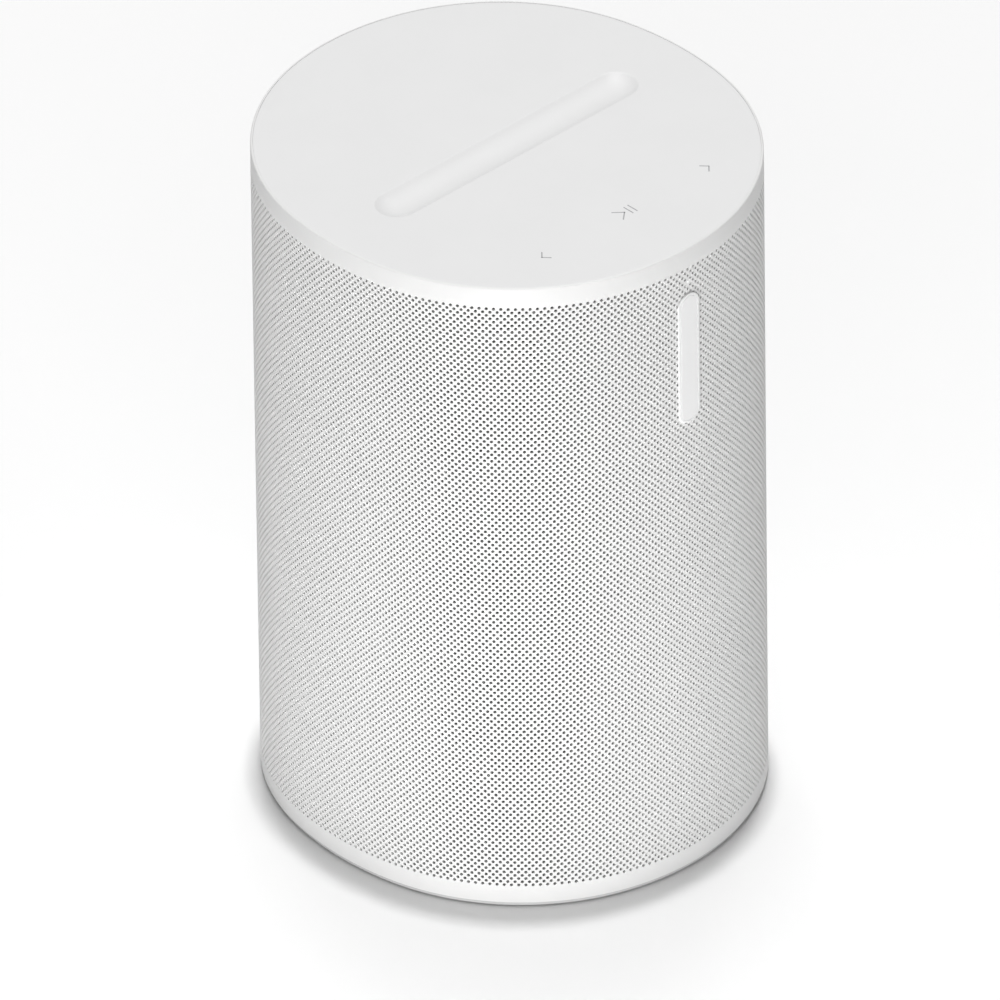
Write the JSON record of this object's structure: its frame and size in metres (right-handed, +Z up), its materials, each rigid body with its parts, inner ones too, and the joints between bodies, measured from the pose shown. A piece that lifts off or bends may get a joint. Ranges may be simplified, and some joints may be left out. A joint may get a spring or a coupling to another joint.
{
  "type": "smart speaker",
  "caption": "White oval-section tabletop smart speaker with a perforated sleeve, a flat touch top with a volume groove, and rear controls and sockets.",
  "frame": {"origin": "on the surface the speaker stands on, under the middle of its oval body", "axes": "+Z up; -Y is the front, where the badge and the woofer face; +X is to the right seen from the front"},
  "size_m": [0.12, 0.1271, 0.1834],
  "materials": {
    "sleeve_plastic": "fine matt white",
    "cover_plastic": "smooth matt white",
    "symbol_ink": "matt grey inlay",
    "badge_plastic": "satin white",
    "base_plastic": "matt light grey",
    "foot_rubber": "matt grey rubber",
    "housing_plastic": "dark moulded plastic",
    "circuit_board": "black solder mask",
    "ferrite": "dark sintered ferrite",
    "aluminium": "dark anodised",
    "panel_plastic": "matt light grey",
    "button_plastic": "satin white",
    "inlet_plastic": "matt black",
    "steel": "plated steel",
    "basket_metal": "black painted",
    "seal_foam": "soft seal",
    "wadding": "loose fibre",
    "cone_paper": "pressed paper",
    "spider_cloth": "treated cloth",
    "surround_rubber": "soft rubber",
    "coil_copper": "enamelled wire",
    "dome_silk": "coated cloth",
    "chip_plastic": "black epoxy",
    "clear_plastic": "frosted clear",
    "wire_sheath": "soft sheath",
    "screw_steel": "blackened steel"
  },
  "bodies": {
    "cabinet": {"grille_sleeve": "sleeve_plastic", "top_cover": "cover_plastic", "touch_icons": "symbol_ink", "front_badge": "badge_plastic", "base_plate": "base_plastic", "rubber_foot": "foot_rubber", "lower_housing": "housing_plastic", "power_board": "circuit_board", "power_transformer": "ferrite", "power_capacitors": "aluminium", "power_inlet": "inlet_plastic", "inlet_pins": "steel", "enclosure_baffle": "housing_plastic", "enclosure_gasket": "seal_foam", "enclosure_shell": "housing_plastic", "acoustic_wadding": "wadding", "woofer_basket": "basket_metal", "woofer_gasket": "seal_foam", "woofer_top_plate": "steel", "woofer_magnet": "ferrite", "woofer_yoke": "steel", "woofer_surround": "surround_rubber", "woofer_spider": "spider_cloth", "tweeter_frame": "housing_plastic", "top_frame": "housing_plastic", "touch_board": "circuit_board", "microphones": "steel", "mic_boots": "seal_foam", "status_led": "clear_plastic", "light_pipe": "clear_plastic", "main_board": "circuit_board", "main_board_chips": "chip_plastic", "heat_sink": "aluminium", "antennas": "circuit_board", "rear_panel": "panel_plastic", "io_board": "circuit_board", "pairing_switch": "chip_plastic", "mic_switch": "chip_plastic", "usb_socket": "steel", "wire_harness": "wire_sheath", "case_screws": "screw_steel", "driver_screws": "screw_steel", "board_screws": "screw_steel", "left_tweeter_motor": "basket_metal", "left_tweeter_waveguide": "housing_plastic", "left_tweeter_surround": "surround_rubber", "right_tweeter_motor": "basket_metal", "right_tweeter_waveguide": "housing_plastic", "right_tweeter_surround": "surround_rubber"},
    "pairing_button": {"pairing_button": "button_plastic", "pairing_plunger": "chip_plastic"},
    "mic_slider": {"mic_slider": "button_plastic", "mic_switch_lever": "chip_plastic"},
    "woofer_diaphragm": {"woofer_cone": "cone_paper", "woofer_dust_cap": "cone_paper", "woofer_voice_coil": "coil_copper"},
    "left_tweeter_diaphragm": {"left_tweeter_dome": "dome_silk", "left_tweeter_voice_coil": "coil_copper"},
    "right_tweeter_diaphragm": {"right_tweeter_dome": "dome_silk", "right_tweeter_voice_coil": "coil_copper"}
  },
  "joints": [
    {"name": "pairing_press", "type": "slide", "parent": "cabinet", "child": "pairing_button", "axis": [0, -1, 0], "range_m": [0, 0.0005], "stiffness_N_per_m": 500},
    {"name": "mic_slide", "type": "slide", "parent": "cabinet", "child": "mic_slider", "axis": [0, 0, -1], "range_m": [0, 0.0028]},
    {"name": "woofer_stroke", "type": "slide", "parent": "cabinet", "child": "woofer_diaphragm", "axis": [0, -1, 0], "range_m": [-0.004, 0.004], "stiffness_N_per_m": 1200, "deforming": ["woofer_surround", "woofer_spider"]},
    {"name": "left_tweeter_stroke", "type": "slide", "parent": "cabinet", "child": "left_tweeter_diaphragm", "axis": [-0.766, -0.6428, 0], "range_m": [-0.0003, 0.0003], "stiffness_N_per_m": 800, "deforming": ["left_tweeter_surround"]},
    {"name": "right_tweeter_stroke", "type": "slide", "parent": "cabinet", "child": "right_tweeter_diaphragm", "axis": [0.766, -0.6428, 0], "range_m": [-0.0003, 0.0003], "stiffness_N_per_m": 800, "deforming": ["right_tweeter_surround"]}
  ]
}
